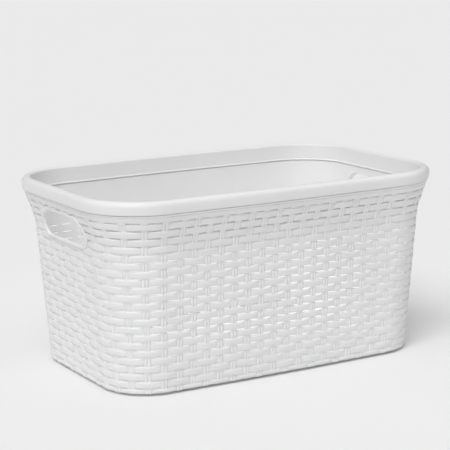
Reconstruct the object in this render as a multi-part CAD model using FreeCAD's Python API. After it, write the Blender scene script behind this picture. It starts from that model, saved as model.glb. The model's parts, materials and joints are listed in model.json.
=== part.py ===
import FreeCAD, Part
import math
import os

# Laundry basket in woven-look moulded plastic. All sizes are in millimetres.
# Origin: centre of the footprint, on the plane that the basket stands on.
# +X runs along the long side, +Y along the short side, +Z is up.

# ---- driving dimensions ----------------------------------------------------------------------
BASE_LENGTH = 526.0         # over the wall's lower edge, end to end
BASE_WIDTH = 315.0          # over the wall's lower edge, where the long sides meet the corners
BASE_CORNER = 73.0          # corner radius of the footprint
SIDE_BOW = 3.3              # bulge of the long sides at mid length
EDGE_Z = 4.2                # the wall's lower edge hangs this far above the ground
FLARE_START_Z = 216.0       # the wall tapers gently up to here
FLARE_END_Z = 233.5         # from here up it leans out at its full angle
TAPER = 12.6                # lean of the wall between its lower edge and the flare
FLARE_TURN = 3.9            # lean gained while the wall turns outwards
RIM_EDGE_Z = 271.1          # lower edge of the rim's outer band
RIM_LEAN = 32.0             # lean of the rim's outer edge
RIM_CORNER = 98.0           # corner radius of the rim's outer edge
RIM_OVERHANG = 1.2          # the rim stands this far proud of the wall below it

WALL = 3.0                  # wall thickness, measured level
THICKEN_Z = 212.0           # from here up the inner face leans less than the outer one
CREASE_Z = 237.0            # the inner face turns outwards here
CREASE_LEAN = 11.6          # lean of the inner face there
LEDGE_Z = 262.5             # the inner face ends here, under the rim's skirt
LEDGE_LEAN = 15.2           # lean of the inner face there
TONGUE_TOP_Z = 282.6        # top edge of the wall, inside the rim
TONGUE_STEP = 2.0           # shoulder where the wall steps in to enter the rim
TONGUE_WALL = 7.0           # thickness of the tongue
SHOULDER_GAP = 0.1          # play between the shoulder and the rim's lower edge

FLOOR_UNDER_Z = 7.2         # underside of the floor, inside the foot ring
FLOOR_TOP_Z = 9.7           # the floor's upper face
FOOT_INSET = 26.0           # the foot ring stands this far inside the wall's lower edge
FOOT_WIDTH = 4.0            # width of the foot ring

HOLE_HALF = 70.0            # half the width of a hand hole
HOLE_LOW_Z = 211.0
HOLE_HIGH_Z = 251.5
HOLE_TOP_CORNER = 24.0
HOLE_LOW_CORNER = 16.0
LINER = 2.2                 # thickness of the liner's tunnel
LINER_LIP = 2.4             # the lip covers this much wall around the tunnel
LINER_PROUD = 1.7           # the lip stands out of the wall this far
LINER_REACH = 0.5           # the tunnel stands this far out of the wall's inner face

# The rim's section: (distance outwards from the rim's outer edge, height above its lower edge).
RIM_SKIN = [(-1.0, 0.0), (-0.3, 0.6), (0.4, 3.6), (1.0, 8.0), (1.0, 11.8), (-0.1, 14.9), (-2.0, 17.0),
            (-4.8, 18.4), (-8.5, 18.9)]
RIM_BORE = [(-16.5, -8.0), (-17.5, -7.8), (-18.0, -7.2), (-18.0, -6.2), (-17.4, -5.4), (-16.6, -5.0),
            (-13.9, 15.0), (-13.5, 16.9), (-12.4, 18.2), (-10.8, 18.8), (-8.5, 18.9)]
RIM_CHANNEL = [(-2.0, 0.0), (-1.2, 4.0), (-1.5, 10.0), (-2.4, 13.4), (-5.2, 16.0)]
RIM_SKIRT_FACE = [(-14.4, -8.0), (-11.4, 15.0), (-10.2, 16.0)]
SKIRT_FOOT = -8.0           # the skirt hangs this far below the outer band's edge
PAST = 12.0                 # cutting shapes run this far past what they cut

# ---- wall profile: lean of the outer face from the lower edge, at each height ------------------
FULL_LEAN = RIM_LEAN - RIM_OVERHANG
FLARE_SLOPE = (FULL_LEAN - TAPER - FLARE_TURN) / (RIM_EDGE_Z - FLARE_END_Z)
TAPER_SLOPE = TAPER / (FLARE_START_Z - EDGE_Z)
TURN_STEPS = 4


def wall_lean(z):
    """Lean of the wall's outer face at height z."""
    if z <= FLARE_START_Z:
        return TAPER_SLOPE * (z - EDGE_Z)
    if z >= FLARE_END_Z:
        return TAPER + FLARE_TURN + FLARE_SLOPE * (z - FLARE_END_Z)
    span = FLARE_END_Z - FLARE_START_Z
    t = (z - FLARE_START_Z) / span
    bend = FLARE_TURN - TAPER_SLOPE * span
    return TAPER + TAPER_SLOPE * span * t + bend * t * t


def turn_heights():
    """Heights at which the turn into the flare is sectioned."""
    span = FLARE_END_Z - FLARE_START_Z
    return [FLARE_START_Z + span * i / TURN_STEPS for i in range(TURN_STEPS + 1)]


def corner_radius(lean):
    """Corner radius of the wall's outer face, which only grows with the flare."""
    return BASE_CORNER + (RIM_CORNER - BASE_CORNER) * max(lean - TAPER, 0) / (RIM_LEAN - TAPER)


def loop(lean, z, inset=0.0):
    """Closed plan outline at height z: the wall's outline at a lean, moved in by inset."""
    a = BASE_LENGTH / 2 + lean - inset
    b = BASE_WIDTH / 2 + lean - inset
    r = corner_radius(lean) - inset
    edges = []
    for turn in range(4):
        cx = (a - r) * (1 if turn in (0, 3) else -1)
        cy = (b - r) * (1 if turn in (0, 1) else -1)
        points = []
        for step in range(3):
            angle = math.pi / 2 * (turn + step / 2.0)
            points.append(FreeCAD.Vector(cx + r * math.cos(angle), cy + r * math.sin(angle), z))
        edges.append(Part.Arc(*points).toShape())
        start = points[2]
        if turn == 0:
            middle = FreeCAD.Vector(0, b + SIDE_BOW, z)
            end = FreeCAD.Vector(-(a - r), b, z)
            edges.append(Part.Arc(start, middle, end).toShape())
        if turn == 1:
            end = FreeCAD.Vector(-a, -(b - r), z)
            edges.append(Part.LineSegment(start, end).toShape())
        if turn == 2:
            middle = FreeCAD.Vector(0, -b - SIDE_BOW, z)
            end = FreeCAD.Vector(a - r, -b, z)
            edges.append(Part.Arc(start, middle, end).toShape())
        if turn == 3:
            end = FreeCAD.Vector(a, b - r, z)
            edges.append(Part.LineSegment(start, end).toShape())
    return Part.Wire(edges)


def tub(stations):
    """Solid through plan outlines at (lean, height, inset) stations, straight between them."""
    return Part.makeLoft([loop(*station) for station in stations], True, True)


def wall_stations(inset, low, high):
    """Stations that follow the wall's outer face, moved in by inset, between two heights."""
    heights = [low] + [z for z in turn_heights() if low < z < high] + [high]
    return [(wall_lean(z), z, inset) for z in heights]


def hole_outline(grow):
    """Outline of a hand hole, grown outwards, on the plane x = 0."""
    half = HOLE_HALF + grow
    low = HOLE_LOW_Z - grow
    high = HOLE_HIGH_Z + grow
    r_low = HOLE_LOW_CORNER + grow
    r_top = HOLE_TOP_CORNER + grow
    corners = [(half - r_low, low + r_low, r_low, -90.0), (half - r_top, high - r_top, r_top, 0.0),
               (-half + r_top, high - r_top, r_top, 90.0), (-half + r_low, low + r_low, r_low, 180.0)]
    arcs = []
    for y, z, r, first in corners:
        points = []
        for step in range(3):
            angle = math.radians(first + 45.0 * step)
            points.append(FreeCAD.Vector(0, y + r * math.cos(angle), z + r * math.sin(angle)))
        arcs.append(points)
    edges = []
    for i in range(4):
        edges.append(Part.Arc(*arcs[i]).toShape())
        edges.append(Part.LineSegment(arcs[i][2], arcs[(i + 1) % 4][0]).toShape())
    return Part.Wire(edges)


def hole_bar(grow, side):
    """Solid bar in the shape of a hand hole through one end wall; side is -1 or +1."""
    near = BASE_LENGTH / 2 - PAST
    far = BASE_LENGTH / 2 + RIM_LEAN + PAST
    bar = Part.Face(hole_outline(grow)).extrude(FreeCAD.Vector(far - near, 0, 0))
    bar.translate(FreeCAD.Vector(near if side > 0 else -far, 0, 0))
    return bar


def inner_lean(z):
    """Lean of the wall's smooth inner face at height z."""
    foot = wall_lean(THICKEN_Z) - WALL
    if z <= THICKEN_Z:
        return wall_lean(z) - WALL
    if z <= CREASE_Z:
        return foot + (CREASE_LEAN - foot) * (z - THICKEN_Z) / (CREASE_Z - THICKEN_Z)
    return CREASE_LEAN + (LEDGE_LEAN - CREASE_LEAN) * (z - CREASE_Z) / (LEDGE_Z - CREASE_Z)


def woven_body():
    """Walls, floor and foot ring, with a shoulder and tongue that the rim closes over."""
    shoulder = RIM_EDGE_Z - SHOULDER_GAP
    tongue = RIM_OVERHANG + TONGUE_STEP
    outer = tub(wall_stations(0, EDGE_Z, shoulder))
    top = tub([(RIM_LEAN, shoulder, tongue), (RIM_LEAN, TONGUE_TOP_Z, tongue)])
    foot = tub([(0, 0, FOOT_INSET), (0, FLOOR_TOP_Z, FOOT_INSET)])
    foot_inside = FOOT_INSET + FOOT_WIDTH
    recess = tub([(0, -PAST, foot_inside), (0, FLOOR_UNDER_Z, foot_inside)])
    basin_heights = (FLOOR_TOP_Z, THICKEN_Z, CREASE_Z, LEDGE_Z)
    basin = tub([(wall_lean(z), z, wall_lean(z) - inner_lean(z)) for z in basin_heights])
    mouth_inset = tongue + TONGUE_WALL
    mouth = tub([(RIM_LEAN, LEDGE_Z, mouth_inset), (RIM_LEAN, TONGUE_TOP_Z + PAST, mouth_inset)])
    body = outer.fuse(top).fuse(foot).cut(basin).cut(mouth).cut(recess)
    for side in (-1, 1):
        body = body.cut(hole_bar(LINER, side))
    return body.removeSplitter()


def rim_stations(section):
    """Stations of the rim from points of its section."""
    return [(RIM_LEAN, RIM_EDGE_Z + rise, -outwards) for outwards, rise in section]


def rim_collar():
    """Ring with an outer band, a rounded top and an inner skirt, open below to take the wall's edge."""
    crown_out, crown_rise = RIM_SKIN[-1]
    band = tub(rim_stations(RIM_SKIN))
    below = tub(rim_stations([(RIM_SKIN[0][0], SKIRT_FOOT), RIM_SKIN[0]]))
    bore = tub(rim_stations(RIM_BORE))
    bore_foot = tub(rim_stations([(RIM_BORE[0][0], -PAST), RIM_BORE[0]]))
    bore_top = tub(rim_stations([(crown_out, crown_rise), (crown_out, crown_rise + PAST)]))
    ring = band.fuse(below).cut(bore).cut(bore_foot).cut(bore_top)
    channel = tub(rim_stations(RIM_CHANNEL))
    clear = tub(rim_stations([(PAST, SKIRT_FOOT - PAST), (PAST, 0.0)]))
    skirt = tub(rim_stations(RIM_SKIRT_FACE))
    skirt_foot = tub(rim_stations([(RIM_SKIRT_FACE[0][0], SKIRT_FOOT - PAST), RIM_SKIRT_FACE[0]]))
    hollow = channel.fuse(clear).cut(skirt).cut(skirt_foot)
    return ring.cut(hollow).removeSplitter()


def hand_hole_liner(side):
    """Tunnel through one end wall with a lip that rests on the wall's outer face."""
    low = HOLE_LOW_Z - PAST
    high = HOLE_HIGH_Z + PAST
    proud = tub(wall_stations(-LINER_PROUD, low, high))
    wall_face = tub(wall_stations(0, low, high))
    deep = tub([(inner_lean(z) - LINER_REACH, z) for z in (low - PAST, THICKEN_Z, CREASE_Z, high + PAST)])
    tunnel = hole_bar(LINER, side).cut(hole_bar(0, side)).common(proud).cut(deep)
    lip = hole_bar(LINER + LINER_LIP, side).cut(hole_bar(0, side)).common(proud).cut(wall_face)
    return tunnel.fuse(lip).removeSplitter()


def save(name, shape):
    """Writes one sub-part, after checking that it is a sound solid."""
    solids = shape.Solids
    print(name, "solids", len(solids), "valid", shape.isValid(), "volume cm3", round(shape.Volume / 1000, 1))
    result = solids[0] if len(solids) == 1 else shape
    result.exportStep("parts/" + name + ".step")


os.makedirs("parts", exist_ok=True)
save("woven_body", woven_body())
save("rim_collar", rim_collar())
save("hand_hole_liner_left", hand_hole_liner(-1))
save("hand_hole_liner_right", hand_hole_liner(1))
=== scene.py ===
import json
import math

import bpy
import numpy as np
from mathutils import Matrix, Vector

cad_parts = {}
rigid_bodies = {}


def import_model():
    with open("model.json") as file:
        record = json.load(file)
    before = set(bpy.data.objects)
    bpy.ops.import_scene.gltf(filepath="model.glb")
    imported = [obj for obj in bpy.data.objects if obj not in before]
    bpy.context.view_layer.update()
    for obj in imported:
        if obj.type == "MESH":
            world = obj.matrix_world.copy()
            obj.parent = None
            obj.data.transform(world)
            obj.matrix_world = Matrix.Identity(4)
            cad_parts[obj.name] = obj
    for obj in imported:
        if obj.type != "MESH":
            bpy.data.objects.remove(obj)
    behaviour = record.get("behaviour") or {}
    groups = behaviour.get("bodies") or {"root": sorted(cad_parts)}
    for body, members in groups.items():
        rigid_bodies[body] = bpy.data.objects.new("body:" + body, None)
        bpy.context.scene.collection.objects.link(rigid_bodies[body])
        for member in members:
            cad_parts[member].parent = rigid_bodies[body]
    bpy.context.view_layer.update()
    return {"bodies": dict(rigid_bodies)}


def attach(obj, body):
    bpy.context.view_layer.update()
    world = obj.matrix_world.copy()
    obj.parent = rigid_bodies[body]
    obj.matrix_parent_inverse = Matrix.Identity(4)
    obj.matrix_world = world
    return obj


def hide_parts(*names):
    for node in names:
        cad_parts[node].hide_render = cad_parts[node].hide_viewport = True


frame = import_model()

# Laundry basket in woven-look moulded plastic. Sizes are in millimetres and are turned into metres
# when a mesh is made. The wall is described by the lean of its outer face at each height, by a place
# along its perimeter counted in weave columns, and by a depth measured level into the wall.
MM = 0.001

# ---- the basket's body, as the CAD has it -----------------------------------------------------
BASE_HALF_LENGTH = 263.0
BASE_HALF_WIDTH = 157.5
BASE_CORNER = 73.0
SIDE_BOW = 3.3              # bulge of the long sides at mid length
BOW_POWER = 1.6             # the larger, the nearer to mid length the bulge fades
EDGE_Z = 4.2                # the wall's lower edge hangs this far above the ground
FLARE_START_Z = EDGE_Z + 211.8
FLARE_END_Z = EDGE_Z + 229.3
TAPER = 12.6                # lean of the wall between its lower edge and the flare
FLARE_TURN = 3.9            # lean gained while the wall turns outwards
RIM_EDGE_Z = EDGE_Z + 266.9
RIM_LEAN = 32.0             # lean of the rim's outer edge
RIM_CORNER = 98.0
RIM_OVERHANG = 1.2          # the rim stands this far proud of the wall below it
FLOOR_UNDER_Z = EDGE_Z + 3.0
FLOOR_TOP_Z = EDGE_Z + 5.5
FOOT_INSET = 26.0           # the foot ring stands this far inside the wall
FOOT_WIDTH = 4.0
FOOT_BEVEL = 0.6
TONGUE_TOP_Z = RIM_EDGE_Z + 11.5
TONGUE_DEPTH = 2.0          # the wall steps in this far to enter the rim
HOLE_HALF = 70.0            # half the width of a hand hole
HOLE_LOW_Z = EDGE_Z + 206.8
HOLE_HIGH_Z = EDGE_Z + 247.3
HOLE_TOP_CORNER = 24.0
HOLE_LOW_CORNER = 16.0
LINER = 2.2                 # thickness of the liner's tunnel
LINER_LIP = 2.4             # the lip covers this much wall around the tunnel
LINER_PROUD = 1.7           # the lip stands out of the wall this far
LINER_REACH = 0.5           # the tunnel stands this far out of the inner face

FULL_LEAN = RIM_LEAN - RIM_OVERHANG
FLARE_SLOPE = (FULL_LEAN - TAPER - FLARE_TURN) / (RIM_EDGE_Z - FLARE_END_Z)
TAPER_SLOPE = TAPER / (FLARE_START_Z - EDGE_Z)

# ---- the weave --------------------------------------------------------------------------------
COLUMN_PITCH = 22.68        # upright rib pairs along the straight sides
LONG_COLUMNS = 8            # pitches from mid long side to the last straight column
END_COLUMNS = 3             # the same from mid end
CORNER_PITCHES = 6          # pitches around a corner, between those two columns
QUARTER = LONG_COLUMNS + CORNER_PITCHES + END_COLUMNS
COLUMNS = 4 * QUARTER
# The columns stand off centre by these shares of a pitch at these columns, in straight steps between.
SHIFT_AT = (-26, -20, -15, -11, -8, -5)
SHIFT_BY = (0.18, -0.2, -0.2, 0.15, 0.28, 0.18)
ROW_PITCH = 11.77
FIRST_ROW_Z = EDGE_Z + 6.54     # top of the part row at the foot
ROWS = 21                   # whole rows above it
WEAVE_TOP_Z = FIRST_ROW_Z + ROW_PITCH * ROWS
FOOT_GAP = 0.8              # the lowest strands end this far above the wall's edge
THROUGH_ROWS = 17           # slots below this row go right through, those above are blind
SLOT_HEIGHT = 1.7           # slot under each row of strands
SLOT_EDGE = 5.0             # a slot ends this far from the middle of a rib pair
STRAND_END = 5.7            # a strand dives behind the rib pair this far from its middle
STRAND_ARCH = 1.2           # a strand's end lies this much deeper than its middle
STRAND_DIVE = 1.2           # further drop behind the rib pair
STRAND_ROUND = 1.5          # height over which a strand's edges are rounded
STRAND_EDGE = 1.7           # drop over that height
STRAND_STEPS = (0.0, 0.35, 1.2, 2.8)    # grid heights in from a strand's edge
STRAND_CROWN = 0.8          # a strand's face is this much proud along its middle
BAR_CENTRE = 2.4            # the two bars of a rib pair stand this far from its middle
BAR_HALF = 2.25             # half the width of one bar
BAR_ROUND = 2.4             # a bar's crest stands this far above its edges
BAR_LINES = (0.0, 1.2, BAR_CENTRE, 3.7, BAR_CENTRE + BAR_HALF - 0.1)    # grid lines over one bar
RIB_CREST = 0.0             # depth of an exposed rib's crest
RIB_SINK = 2.4              # the rib lies this much deeper where a strand covers it
RIB_TUCK = 0.5              # share of that depth where it goes under the strand
WEB_DEPTH = 2.8             # the thin ground between ribs and strands
INNER_DEPTH = 3.0           # the smooth inner face
THICKEN_Z = EDGE_Z + 207.8  # from here up the inner face leans less than the outer one
CREASE_Z = EDGE_Z + 232.8   # the inner face turns outwards here
CREASE_LEAN = 11.6          # lean of the inner face there
LEDGE_Z = RIM_EDGE_Z - 8.6  # the inner face ends here, under the rim's skirt
LEDGE_LEAN = 15.2           # lean of the inner face there
TONGUE_WALL_Z = LEDGE_Z + 0.3   # from here up the inner face is the tongue's
TONGUE_INNER = 7.0          # thickness of the wall's tongue inside the rim
BLIND_DEPTHS = (2.5, 3.0, 4.2, 4.6, 3.8)    # backs of the blind slots, row by row
BAND_DEPTH = 0.5            # the plain band under the rim
BAND_LINE = 0.6             # a fine line runs round the band, this deep
BAND_LINE_Z = RIM_EDGE_Z - 5.0
SHOULDER_DEPTH = 1.8        # the wall steps in this far under the rim's edge
WALL_SHARP = 50.0           # an edge sharper than this, in degrees, isn't shaded smooth

# ---- the rim's section: (distance outwards from its outer edge, height above its lower edge) ------
RIM_SKIN = [(-1.0, 0.0), (-0.3, 0.6), (0.4, 3.6), (1.0, 8.0), (1.0, 11.8), (-0.1, 14.9), (-2.0, 17.0),
            (-4.8, 18.4), (-8.5, 18.9), (-10.8, 18.8), (-12.4, 18.2), (-13.5, 16.9), (-13.9, 15.0)]
RIM_BEAD = [(-16.6, -5.0), (-17.2, -5.2), (-17.8, -5.7), (-18.1, -6.5), (-18.0, -7.2), (-17.5, -7.8),
            (-16.5, -8.0), (-14.7, -8.0), (-14.4, -7.7)]
RIM_CHANNEL = [(-11.4, 15.0), (-10.2, 16.2), (-5.2, 16.0), (-2.4, 13.4), (-1.5, 10.0), (-1.2, 4.0),
               (-2.0, 0.2)]
RIM_SKIN_STEPS = 3          # steps of the rounded skin between two of its points
RIM_COLUMN_STEPS = 8        # steps of the rim's sweep to each weave column
RIM_SHARP = 40.0            # as WALL_SHARP, for the rim

# ---- hand holes -------------------------------------------------------------------------------
ARC_STEPS = 12              # steps in each corner of a hole's outline
STRAIGHT_STEPS = 10         # steps along each straight stretch of it
LIP_EDGE = LINER + LINER_LIP
# Lip: (distance outwards from the hole's outline, depth into the wall, less than 0 where it is proud).
LIP_SECTION = [(LINER, 0.8), (LIP_EDGE, 0.6), (LIP_EDGE, -0.6), (LIP_EDGE - 0.4, -1.2),
               (LIP_EDGE - 1.2, -1.6), (LIP_EDGE - 2.2, -LINER_PROUD), (LIP_EDGE - 3.4, -1.5),
               (LIP_EDGE - 4.2, -0.9), (0.0, -0.1)]
# Tunnel's inner end: (the same distance, distance back from the end towards the lip).
TUNNEL_SECTION = [(0.0, 0.7), (0.3, 0.2), (0.9, 0.0), (LINER - 0.5, 0.0), (LINER, 0.4)]
CUT_NEAR = BASE_HALF_LENGTH - 20.0      # a hand hole is cut between these distances from the middle
CUT_FAR = BASE_HALF_LENGTH + 60.0

# ---- plastic ----------------------------------------------------------------------------------
WHITE = (0.95, 0.95, 0.95)
CLOUD_SCALE = 9.0
CLOUD_SHADE = 0.975         # the clouding's darker tone, as a share of the colour
CLOUD_SPREAD = 0.15         # the two tones meet over this much noise to either side of its middle
GLOSS_SPREAD = 0.05         # roughness varies by this much to either side
GRAIN_STRENGTH = 0.35
PLASTIC_IOR = 1.49

# ---- studio -----------------------------------------------------------------------------------
FLOOR_HALF = 20.0           # in metres
FLOOR_WHITE = 0.92
CAMERA_AT = (-1212.3, -2082.2, 679.3)
CAMERA_TURN = (30.11, 11.19, -0.868)    # yaw, downward pitch and roll, in degrees
LENS = 126.0


def wall_lean(z):
    """Lean of the wall's outer face from its foot, at heights z."""
    z = np.asarray(z, float)
    span = FLARE_END_Z - FLARE_START_Z
    t = np.clip((z - FLARE_START_Z) / span, 0, 1)
    straight = TAPER_SLOPE * (np.minimum(z, FLARE_END_Z) - EDGE_Z)
    bend = FLARE_TURN - TAPER_SLOPE * span
    return straight + bend * t * t + FLARE_SLOPE * np.maximum(z - FLARE_END_Z, 0)


def corner_radius(lean):
    """Corner radius of the wall's outer face, which only grows with the flare."""
    return BASE_CORNER + (RIM_CORNER - BASE_CORNER) * np.maximum(lean - TAPER, 0) / (RIM_LEAN - TAPER)


def quarter_outline(p, lean):
    """Plan point and outward normal for columns p from mid long side (0) to mid end (QUARTER)."""
    a = BASE_HALF_LENGTH + lean
    b = BASE_HALF_WIDTH + lean
    r = corner_radius(lean)
    last_long = LONG_COLUMNS * COLUMN_PITCH
    last_end = END_COLUMNS * COLUMN_PITCH
    before = (a - r) - last_long
    arc = r * math.pi / 2
    after = (b - r) - last_end
    pitch = (before + arc + after) / CORNER_PITCHES
    s = (p - LONG_COLUMNS) * np.where(p < LONG_COLUMNS, COLUMN_PITCH, pitch) - before
    on_end = p > LONG_COLUMNS + CORNER_PITCHES
    s = np.where(on_end, arc + after + (p - LONG_COLUMNS - CORNER_PITCHES) * COLUMN_PITCH, s)
    x_side = (a - r) + s
    t = np.clip(x_side / (a - r), 0, 1)
    bow = SIDE_BOW * (1 - t * t) ** BOW_POWER
    slope = SIDE_BOW * BOW_POWER * (1 - t * t) ** (BOW_POWER - 1) * 2 * t / (a - r)
    angle = np.clip(s / r, 0, math.pi / 2)
    x = np.where(s < 0, x_side, (a - r) + r * np.sin(angle))
    y = np.where(s < 0, -b - bow, -(b - r) - r * np.cos(angle) + np.maximum(s - arc, 0))
    nx = np.where(s < 0, slope, np.sin(angle))
    ny = np.where(s < 0, -1.0, -np.cos(angle))
    size = np.hypot(nx, ny)
    return x, y, nx / size, ny / size


def outline(p, lean):
    """The same for columns p all round, from the middle of the front towards +X."""
    p = np.mod(p + np.interp(p, SHIFT_AT, SHIFT_BY, period=COLUMNS), COLUMNS)
    q = np.where(p > COLUMNS / 2, COLUMNS - p, p)
    behind = q > QUARTER
    x, y, nx, ny = quarter_outline(np.where(behind, COLUMNS / 2 - q, q), lean)
    flip_x = np.where(p > COLUMNS / 2, -1.0, 1.0)
    flip_y = np.where(behind, -1.0, 1.0)
    return x * flip_x, y * flip_y, nx * flip_x, ny * flip_y


def corner_pitch(lean):
    """Column pitch around the corners, which fan out with the lean."""
    a = BASE_HALF_LENGTH + lean
    b = BASE_HALF_WIDTH + lean
    r = corner_radius(lean)
    length = (a - r) - LONG_COLUMNS * COLUMN_PITCH + r * math.pi / 2 + (b - r) - END_COLUMNS * COLUMN_PITCH
    return length / CORNER_PITCHES


def wall_points(p, z, depth):
    """Points of the wall at columns p and heights z, moved level into the wall by depth."""
    x, y, nx, ny = outline(p, wall_lean(z))
    return np.stack([x - nx * depth, y - ny * depth, z + 0 * x], -1)


def rim_points(p, lean, z):
    """Points of a loop with its own lean, for the rim and for the wall's tongue inside it."""
    x, y, nx, ny = outline(p, RIM_LEAN)
    inward = RIM_LEAN - lean
    return np.stack([x - nx * inward, y - ny * inward, z + 0 * x], -1)


# ---- meshes -----------------------------------------------------------------------------------
def make_mesh(name, points, faces, sharp_angle=WALL_SHARP):
    """Object from points in millimetres, smooth-shaded up to an angle between faces."""
    mesh = bpy.data.meshes.new(name)
    mesh.from_pydata((np.asarray(points) * MM).tolist(), [], faces)
    mesh.update()
    mesh.shade_smooth()
    mesh.set_sharp_from_angle(angle=math.radians(sharp_angle))
    obj = bpy.data.objects.new(name, mesh)
    bpy.context.scene.collection.objects.link(obj)
    return obj


def ring_faces(low, high):
    """Quads between two closed loops of vertex numbers of the same length, low one first."""
    low_next = np.roll(low, -1)
    high_next = np.roll(high, -1)
    return np.stack([low, low_next, high_next, high], 1)


# ---- woven body -------------------------------------------------------------------------------
def column_samples():
    """(rib offset in mm, share of the gap) of each upright grid line of one column."""
    right = [*BAR_LINES, SLOT_EDGE, STRAND_END]
    gap = [1 / 3, 2 / 3]
    left = [-u for u in right[:0:-1]]
    return right, gap, left


def grid_columns(lean):
    """Perimeter places, rib numbers and offsets of the grid's upright lines at each height's lean.

    Returns arrays of shape (heights, lines): place in columns, and per line the nearest rib and the
    signed distance to it in millimetres."""
    right, gap, left = column_samples()
    wide = corner_pitch(lean)[:, None]
    places = []
    for i in range(COLUMNS):
        in_quarter = i % (COLUMNS // 2)
        q = min(in_quarter, COLUMNS // 2 - in_quarter)
        q_next = min((i + 1) % (COLUMNS // 2), COLUMNS // 2 - (i + 1) % (COLUMNS // 2))
        low, high = LONG_COLUMNS, LONG_COLUMNS + CORNER_PITCHES
        in_corner = low <= min(q, q_next) and max(q, q_next) <= high
        pitch = wide if in_corner else COLUMN_PITCH + 0 * wide
        for u in right:
            places.append((i + u / pitch, i, u + 0 * pitch, pitch))
        for g in gap:
            u = STRAND_END + (pitch - 2 * STRAND_END) * g
            near_next = g > 0.5
            places.append((i + u / pitch, i + near_next, u - pitch * near_next, pitch))
        for u in left:
            places.append((i + 1 + u / pitch, i + 1, u + 0 * pitch, pitch))
    place = np.concatenate([q[0] for q in places], 1)
    rib = np.array([q[1] for q in places]) % COLUMNS
    offset = np.concatenate([q[2] for q in places], 1)
    pitch = np.concatenate([q[3] for q in places], 1)
    return place, rib, offset, pitch


def line_places(z):
    """Perimeter places of the grid's upright lines at one height."""
    return grid_columns(wall_lean(np.array([z])))[0][0]


def row_samples():
    """(height, row number, height above the strand's lower edge, height below its upper edge)."""
    rows = []
    for k in range(-1, ROWS):
        low = FIRST_ROW_Z + ROW_PITCH * k if k >= 0 else EDGE_Z
        high = FIRST_ROW_Z + ROW_PITCH * (k + 1)
        edge = low + (SLOT_HEIGHT if k >= 0 else FOOT_GAP)
        rows.append((low, k, None, None))
        for step in STRAND_STEPS:
            rows.append((edge + step, k, step, high - edge - step))
        for step in STRAND_STEPS[:0:-1]:
            rows.append((high - step, k, high - edge - step, step))
    return rows


def edge_round(distance):
    """Drop of a strand's face at a distance from its edge."""
    t = np.clip(1 - distance / STRAND_ROUND, 0, 1)
    return STRAND_EDGE * (1 - np.sqrt(1 - t * t))


def weave_depth(rib, offset, pitch, rows):
    """Depth of the woven face below its envelope, at every grid point, for (heights, lines)."""
    depth = np.empty(offset.shape)
    u = np.abs(offset)
    bar = np.clip(np.abs(u - BAR_CENTRE) / BAR_HALF, 0, 1)
    bar_drop = BAR_ROUND * (1 - np.sqrt(1 - bar * bar))
    for j, (_, k, above, below) in enumerate(rows):
        covered = (rib + k) % 2 == 0
        reach = np.where(covered, u[j], pitch[j] - u[j])
        visible = pitch[j] - STRAND_END
        arch = STRAND_ARCH * np.clip(reach / visible, 0, 1) ** 2
        dive = STRAND_DIVE * np.clip((reach - visible) / (STRAND_END - SLOT_EDGE), 0, 1)
        if above is None:
            strand = np.where(covered, STRAND_EDGE, WEB_DEPTH) + arch + dive
            sink = RIB_TUCK
        else:
            crown = STRAND_CROWN * ((above - below) / (above + below)) ** 2
            strand = arch + dive + crown + edge_round(above) + edge_round(below)
            swing = 0.5 - 0.5 * np.cos(math.pi * (above + SLOT_HEIGHT) / (above + below + SLOT_HEIGHT))
            arc = math.sin(math.pi * swing)
            sink = np.where(covered, RIB_TUCK + (1 - RIB_TUCK) * arc, RIB_TUCK - RIB_TUCK * arc)
        crest = np.where(u[j] <= BAR_CENTRE + BAR_HALF, RIB_CREST + RIB_SINK * sink + bar_drop[j], WEB_DEPTH)
        depth[j] = np.minimum(np.minimum(strand, crest), WEB_DEPTH)
    return depth


def add_loop(points, loop):
    """Adds a loop of points to a mesh in the making and returns its vertex numbers."""
    start = sum(len(earlier) for earlier in points)
    points.append(loop)
    return np.arange(start, start + len(loop))


def outer_loops(points, rows):
    """Loops of the wall's outer face from its lower edge up, and on to the top of the tongue."""
    heights = np.array([row[0] for row in rows])
    place, rib, offset, pitch = grid_columns(wall_lean(heights))
    depth = weave_depth(rib, offset, pitch, rows)
    loops = [add_loop(points, wall_points(place[j], z, depth[j])) for j, z in enumerate(heights)]

    top_place, _, top_offset, _ = grid_columns(wall_lean(np.array([WEAVE_TOP_Z])))
    top_crest = np.where(np.abs(top_offset[0]) <= BAR_CENTRE + BAR_HALF, RIB_CREST, WEB_DEPTH)
    top_depth = np.minimum(top_crest, STRAND_EDGE)
    loops.append(add_loop(points, wall_points(top_place[0], WEAVE_TOP_Z, top_depth)))

    line_depth = BAND_DEPTH + BAND_LINE
    slot_top_z = WEAVE_TOP_Z + SLOT_HEIGHT
    band = [(slot_top_z, 0.8), (slot_top_z + 0.4, BAND_DEPTH), (BAND_LINE_Z, BAND_DEPTH),
            (BAND_LINE_Z + 0.3, line_depth), (BAND_LINE_Z + 0.9, line_depth),
            (BAND_LINE_Z + 1.2, BAND_DEPTH), (RIM_EDGE_Z - 1.0, BAND_DEPTH),
            (RIM_EDGE_Z - 0.8, SHOULDER_DEPTH), (RIM_EDGE_Z - 0.2, SHOULDER_DEPTH)]
    for z, inward in band:
        loops.append(add_loop(points, wall_points(line_places(z), z, inward)))
    for z in (RIM_EDGE_Z, TONGUE_TOP_Z):
        loops.append(add_loop(points, rim_points(line_places(RIM_EDGE_Z), FULL_LEAN - TONGUE_DEPTH, z)))
    return loops


def slot_lines():
    """Which of the grid's faces along a row fall on a slot, and the upright lines that slots need."""
    right, gap, left = column_samples()
    per_column = len(right) + len(gap) + len(left)
    first = right.index(SLOT_EDGE)
    last = per_column - first
    on_slot = np.zeros(per_column, bool)
    on_slot[first:last] = True
    needed = on_slot.copy()
    needed[last] = True
    return np.tile(on_slot, COLUMNS), np.nonzero(np.tile(needed, COLUMNS))[0]


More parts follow.
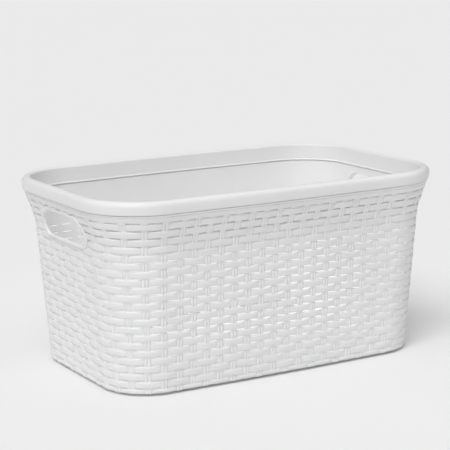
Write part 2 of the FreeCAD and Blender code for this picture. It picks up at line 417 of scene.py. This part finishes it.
def inner_loops(points, kept, slot_heights):
    """Loops of the smooth inner face from the floor up, with the edges of the open slots among them."""
    heights = []
    for z in slot_heights[:THROUGH_ROWS]:
        heights += [z, z + SLOT_HEIGHT]
    heights += [THICKEN_Z, CREASE_Z, LEDGE_Z]
    loops = [add_loop(points, wall_points(line_places(EDGE_Z)[kept], FLOOR_TOP_Z, INNER_DEPTH))]
    for z in heights:
        loops.append(add_loop(points, wall_points(line_places(z)[kept], z, wall_lean(z) - inner_lean(z))))
    tongue_face = FULL_LEAN - TONGUE_DEPTH - TONGUE_INNER
    for z in (TONGUE_WALL_Z, TONGUE_TOP_Z):
        loops.append(add_loop(points, rim_points(line_places(RIM_EDGE_Z)[kept], tongue_face, z)))
    return loops


def inner_faces(inner, slot_here):
    """Faces of the inner skin, left out where an open slot comes through."""
    faces = []
    for n in range(len(inner) - 1):
        quads = ring_faces(inner[n], inner[n + 1])[:, ::-1]
        if n % 2 == 1 and n < 2 * THROUGH_ROWS:
            quads = quads[~slot_here]
        faces.append(quads)
    return faces


def slot_faces(points, edges, inner, kept, slot_here, slot_heights):
    """Sides of the slots, from the woven face to the inner face, or to the back of a blind slot.

    The edges are the (low, high) loops of the woven face at each row of slots."""
    begins = slot_here & ~np.roll(slot_here, 1)
    ends = ~slot_here & np.roll(slot_here, 1)
    faces = []
    for n, (low, high) in enumerate(edges):
        if n < THROUGH_ROWS:
            back_low, back_high = inner[1 + 2 * n], inner[2 + 2 * n]
        else:
            z = slot_heights[n]
            at = line_places(z)[kept]
            inward = BLIND_DEPTHS[n - THROUGH_ROWS]
            back_low = add_loop(points, wall_points(at, z, inward))
            back_high = add_loop(points, wall_points(at, z + SLOT_HEIGHT, inward))
            faces.append(ring_faces(back_low, back_high)[slot_here])
        faces.append(ring_faces(back_low, low)[slot_here][:, ::-1])
        faces.append(ring_faces(back_high, high)[slot_here])
        faces.append(np.stack([high, low, back_low, back_high], 1)[begins])
        faces.append(np.stack([low, high, back_high, back_low], 1)[ends])
    return faces


def foot_faces(points, edge):
    """Faces from the wall's lower edge round the foot ring to the underside of the floor."""
    foot_inside = FOOT_INSET + FOOT_WIDTH
    section = [(FOOT_INSET, EDGE_Z), (FOOT_INSET, FOOT_BEVEL), (FOOT_INSET + FOOT_BEVEL, 0.0),
               (foot_inside - FOOT_BEVEL, 0.0), (foot_inside, FOOT_BEVEL), (foot_inside, FLOOR_UNDER_Z)]
    at = line_places(EDGE_Z)
    foot = [edge] + [add_loop(points, foot_loop(at, inset, z)) for inset, z in section]
    faces = []
    for n in range(len(section)):
        faces += ring_faces(foot[n + 1], foot[n]).tolist()
    return faces + [foot[-1][::-1].tolist()]


def woven_body():
    """The wall as one closed skin: woven outside, smooth inside, with open slots, foot and floor."""
    points = []
    rows = row_samples()
    outer = outer_loops(points, rows)
    faces = [ring_faces(low, high) for low, high in zip(outer, outer[1:])]

    # Faces of the outer skin that fall on a slot are left out.
    in_slot, kept = slot_lines()
    slot_rows = [j for j, row in enumerate(rows) if row[2] is None and row[1] >= 0]
    slot_heights = [rows[j][0] for j in slot_rows] + [WEAVE_TOP_Z]
    slot_rows.append(len(rows))
    for j in slot_rows:
        faces[j] = faces[j][~in_slot]

    # The inner skin has only the upright lines that the slots need.
    slot_here = in_slot[kept]
    inner = inner_loops(points, kept, slot_heights)
    faces += inner_faces(inner, slot_here)
    edges = [(outer[j][kept], outer[j + 1][kept]) for j in slot_rows]
    faces += slot_faces(points, edges, inner, kept, slot_here, slot_heights)

    polygons = np.concatenate(faces).tolist()
    polygons += strip_between(outer[-1], inner[-1], kept)
    polygons += foot_faces(points, outer[0])
    polygons.append(inner[0].tolist())
    return make_mesh("woven_basket_body", np.concatenate(points), polygons)


def foot_loop(p, inset, z):
    """Loop this far inside the wall's edge, for the foot ring."""
    x, y, nx, ny = outline(p, 0.0)
    return np.stack([x - nx * inset, y - ny * inset, z + 0 * x], -1)


def inner_lean(z):
    """Lean of the smooth inner face at heights z."""
    straight = wall_lean(z) - INNER_DEPTH
    foot = float(wall_lean(THICKEN_Z)) - INNER_DEPTH
    slope = (LEDGE_LEAN - CREASE_LEAN) / (LEDGE_Z - CREASE_Z)
    above = np.interp(z, [THICKEN_Z, CREASE_Z], [foot, CREASE_LEAN]) + slope * np.maximum(z - CREASE_Z, 0)
    return np.where(z < THICKEN_Z, straight, above)


def strip_between(fine, coarse, kept):
    """Faces of the wall's top edge, between a loop of all lines and a loop of only the kept ones."""
    faces = []
    count = len(fine)
    for m in range(len(kept)):
        m_next = (m + 1) % len(kept)
        span = (kept[m_next] - kept[m]) % count
        along = [int(fine[(kept[m] + s) % count]) for s in range(span + 1)]
        faces.append(along + [int(coarse[m_next]), int(coarse[m])])
    return faces


# ---- rim --------------------------------------------------------------------------------------
def smooth_profile(points, steps):
    """Catmull-Rom curve through an open list of points."""
    pts = [np.array(q, float) for q in points]
    pts = [2 * pts[0] - pts[1]] + pts + [2 * pts[-1] - pts[-2]]
    out = []
    for a, b, c, d in zip(pts, pts[1:], pts[2:], pts[3:]):
        for n in range(steps):
            t = n / steps
            out.append(0.5 * ((2 * b) + (c - a) * t + (2 * a - 5 * b + 4 * c - d) * t * t
                              + (3 * b - a - 3 * c + d) * t ** 3))
    out.append(pts[-2])
    return out


def rim_collar():
    """Rolled rim: outer band, rounded top and inner skirt, swept round the basket."""
    profile = smooth_profile(RIM_SKIN, RIM_SKIN_STEPS) + RIM_BEAD + RIM_CHANNEL
    p = np.arange(COLUMNS * RIM_COLUMN_STEPS) / RIM_COLUMN_STEPS
    points = []
    loops = [add_loop(points, rim_points(p, RIM_LEAN + out, RIM_EDGE_Z + rise)) for out, rise in profile]
    faces = [ring_faces(low, high) for low, high in zip(loops, loops[1:] + loops[:1])]
    return make_mesh("rim_collar_moulding", np.concatenate(points), np.concatenate(faces).tolist(), RIM_SHARP)


# ---- cutting and lining the hand holes ----------------------------------------------------------
def hole_outline(grow):
    """Closed outline of a hand hole, grown outwards: (y, z) points, anticlockwise."""
    half, low, high = HOLE_HALF + grow, HOLE_LOW_Z - grow, HOLE_HIGH_Z + grow
    r_low, r_top = HOLE_LOW_CORNER + grow, HOLE_TOP_CORNER + grow
    corners = [(half - r_low, low + r_low, r_low, -90), (half - r_top, high - r_top, r_top, 0),
               (-half + r_top, high - r_top, r_top, 90), (-half + r_low, low + r_low, r_low, 180)]
    points = []
    for y, z, r, first in corners:
        for n in range(ARC_STEPS + 1):
            angle = math.radians(first + 90 * n / ARC_STEPS)
            points.append((y + r * math.cos(angle), z + r * math.sin(angle)))
    return points


def dense_outline(grow):
    """The same with points along its straight stretches, so that it can follow the wall."""
    corners = hole_outline(grow)
    out = []
    for n, (y, z) in enumerate(corners):
        out.append((y, z))
        if n % (ARC_STEPS + 1) == ARC_STEPS:
            y_next, z_next = corners[(n + 1) % len(corners)]
            for step in range(1, STRAIGHT_STEPS):
                t = step / STRAIGHT_STEPS
                out.append((y + (y_next - y) * t, z + (z_next - z) * t))
    return np.array(out)


def hand_hole_liner(name, side):
    """Lip and tunnel of one hand hole; side is -1 or +1."""
    points = []
    loops = []
    for follow_inside, section in ((False, LIP_SECTION), (True, TUNNEL_SECTION)):
        for grow, depth in section:
            y, z = dense_outline(grow).T
            lean = inner_lean(z) - LINER_REACH + depth if follow_inside else wall_lean(z) - depth
            loops.append(add_loop(points, np.stack([side * (BASE_HALF_LENGTH + lean), y, z], -1)))
    faces = [ring_faces(low, high)[:, ::side] for low, high in zip(loops, loops[1:] + loops[:1])]
    return make_mesh(name, np.concatenate(points), np.concatenate(faces).tolist())


def cut_hand_hole(body, side):
    """Cuts one hand hole through the woven wall."""
    ring = np.array(hole_outline(LINER / 2))
    count = len(ring)
    points = []
    for x in (CUT_NEAR, CUT_FAR):
        points.append(np.stack([np.full(count, side * x), ring[:, 0], ring[:, 1]], -1))
    faces = ring_faces(np.arange(count), np.arange(count) + count)
    faces = faces.tolist() + [list(range(count))[::-1], list(range(count, 2 * count))]
    if side < 0:
        faces = [face[::-1] for face in faces]
    cutter = make_mesh("hole_cutter", np.concatenate(points), faces)
    cut = body.modifiers.new("hand_hole", "BOOLEAN")
    cut.operation = "DIFFERENCE"
    cut.solver = "MANIFOLD"
    cut.object = cutter
    apply_modifiers(body)
    bpy.data.objects.remove(cutter)


def apply_modifiers(obj):
    """Keeps the mesh that the modifiers give."""
    graph = bpy.context.evaluated_depsgraph_get()
    mesh = bpy.data.meshes.new_from_object(obj.evaluated_get(graph))
    obj.modifiers.clear()
    obj.data = mesh


# ---- materials --------------------------------------------------------------------------------
def plastic(name, colour, roughness, grain, grain_height):
    """Moulded polypropylene: fine grain, faint clouding of colour and gloss."""
    material = bpy.data.materials.new(name)
    material.use_nodes = True
    nodes, links = material.node_tree.nodes, material.node_tree.links
    shader = nodes["Principled BSDF"]
    place = nodes.new("ShaderNodeTexCoord")
    cloud = nodes.new("ShaderNodeTexNoise")
    cloud.inputs["Scale"].default_value = CLOUD_SCALE
    cloud.inputs["Detail"].default_value = 3.0
    links.new(place.outputs["Object"], cloud.inputs["Vector"])
    tint = nodes.new("ShaderNodeValToRGB")
    tint.color_ramp.elements[0].position = 0.5 - CLOUD_SPREAD
    tint.color_ramp.elements[0].color = [c * CLOUD_SHADE for c in colour] + [1]
    tint.color_ramp.elements[1].position = 0.5 + CLOUD_SPREAD
    tint.color_ramp.elements[1].color = list(colour) + [1]
    links.new(cloud.outputs["Fac"], tint.inputs["Fac"])
    links.new(tint.outputs["Color"], shader.inputs["Base Color"])
    gloss = nodes.new("ShaderNodeMapRange")
    gloss.inputs["To Min"].default_value = roughness - GLOSS_SPREAD
    gloss.inputs["To Max"].default_value = roughness + GLOSS_SPREAD
    links.new(cloud.outputs["Fac"], gloss.inputs["Value"])
    links.new(gloss.outputs["Result"], shader.inputs["Roughness"])
    speck = nodes.new("ShaderNodeTexNoise")
    speck.inputs["Scale"].default_value = grain
    speck.inputs["Detail"].default_value = 2.0
    links.new(place.outputs["Object"], speck.inputs["Vector"])
    bump = nodes.new("ShaderNodeBump")
    bump.inputs["Strength"].default_value = GRAIN_STRENGTH
    bump.inputs["Distance"].default_value = grain_height * MM
    links.new(speck.outputs["Fac"], bump.inputs["Height"])
    links.new(bump.outputs["Normal"], shader.inputs["Normal"])
    shader.inputs["IOR"].default_value = PLASTIC_IOR
    return material


def dress(obj, material):
    """Gives a piece its material and lets it ride on the basket's only body."""
    obj.data.materials.clear()
    obj.data.materials.append(material)
    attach(obj, "laundry_basket" if "laundry_basket" in frame["bodies"] else "root")


# ---- the basket -------------------------------------------------------------------------------
body_plastic = plastic("body_plastic", WHITE, 0.48, 900.0, 0.05)
rim_plastic = plastic("rim_plastic", WHITE, 0.40, 1100.0, 0.03)
liner_plastic = plastic("liner_plastic", WHITE, 0.44, 1000.0, 0.03)

body = woven_body()
for side in (-1, 1):
    cut_hand_hole(body, side)
body.data.set_sharp_from_angle(angle=math.radians(WALL_SHARP))
dress(body, body_plastic)
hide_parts("woven_body")

rim = rim_collar()
dress(rim, rim_plastic)
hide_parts("rim_collar")

for side, end in ((-1, "left"), (1, "right")):
    liner = hand_hole_liner("hand_hole_lip_" + end, side)
    dress(liner, liner_plastic)
    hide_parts("hand_hole_liner_" + end)


# ---- studio -----------------------------------------------------------------------------------
def studio_floor():
    """Plain pale floor, large enough to fill the view."""
    mesh = bpy.data.meshes.new("studio_floor")
    corners = [(x * FLOOR_HALF, y * FLOOR_HALF, 0) for x, y in ((-1, -1), (1, -1), (1, 1), (-1, 1))]
    mesh.from_pydata(corners, [], [(0, 1, 2, 3)])
    floor = bpy.data.objects.new("studio_floor", mesh)
    bpy.context.scene.collection.objects.link(floor)
    material = bpy.data.materials.new("studio_floor")
    material.use_nodes = True
    shader = material.node_tree.nodes["Principled BSDF"]
    shader.inputs["Base Color"].default_value = (FLOOR_WHITE, FLOOR_WHITE, FLOOR_WHITE, 1)
    shader.inputs["Roughness"].default_value = 1.0
    shader.inputs["Specular IOR Level"].default_value = 0.0
    mesh.materials.append(material)


def sun(name, azimuth, elevation, strength, softness):
    """A soft distant light that comes from a compass direction (0 is -Y, 90 is +X) and height."""
    lamp = bpy.data.lights.new(name, "SUN")
    lamp.energy = strength
    lamp.angle = math.radians(softness)
    obj = bpy.data.objects.new(name, lamp)
    bpy.context.scene.collection.objects.link(obj)
    a, e = math.radians(azimuth), math.radians(elevation)
    towards = Vector((math.sin(a) * math.cos(e), -math.cos(a) * math.cos(e), math.sin(e)))
    obj.rotation_euler = towards.to_track_quat("Z", "Y").to_euler()


def camera():
    """Long lens, a little above the rim, turned to the basket's near left corner."""
    yaw, pitch, roll = [math.radians(turn) for turn in CAMERA_TURN]
    forward = Vector((math.sin(yaw) * math.cos(pitch), math.cos(yaw) * math.cos(pitch), -math.sin(pitch)))
    level = Vector((math.cos(yaw), -math.sin(yaw), 0))
    upright = level.cross(forward)
    right = level * math.cos(roll) + upright * math.sin(roll)
    up = upright * math.cos(roll) - level * math.sin(roll)
    data = bpy.data.cameras.new("camera")
    data.sensor_width = 36.0
    data.lens = LENS
    data.clip_end = 100.0
    obj = bpy.data.objects.new("camera", data)
    bpy.context.scene.collection.objects.link(obj)
    turn = Matrix((right, up, -forward)).transposed().to_4x4()
    obj.matrix_world = Matrix.Translation(Vector(CAMERA_AT) * MM) @ turn
    bpy.context.scene.camera = obj


def sky(strength):
    """Even light from all round."""
    world = bpy.data.worlds.new("studio")
    world.use_nodes = True
    background = world.node_tree.nodes["Background"]
    background.inputs["Color"].default_value = (1, 1, 1, 1)
    background.inputs["Strength"].default_value = strength
    bpy.context.scene.world = world


studio_floor()
sun("key", -51.0, 50.0, 1.47, 34.0)
sun("overhead", 0.0, 90.0, 1.64, 110.0)
sky(0.015)
camera()
bpy.context.scene.view_settings.view_transform = "Standard"
# A white tub is lit inside mostly by light that has bounced many times.
bpy.context.scene.cycles.diffuse_bounces = 12
bpy.context.scene.cycles.max_bounces = 16
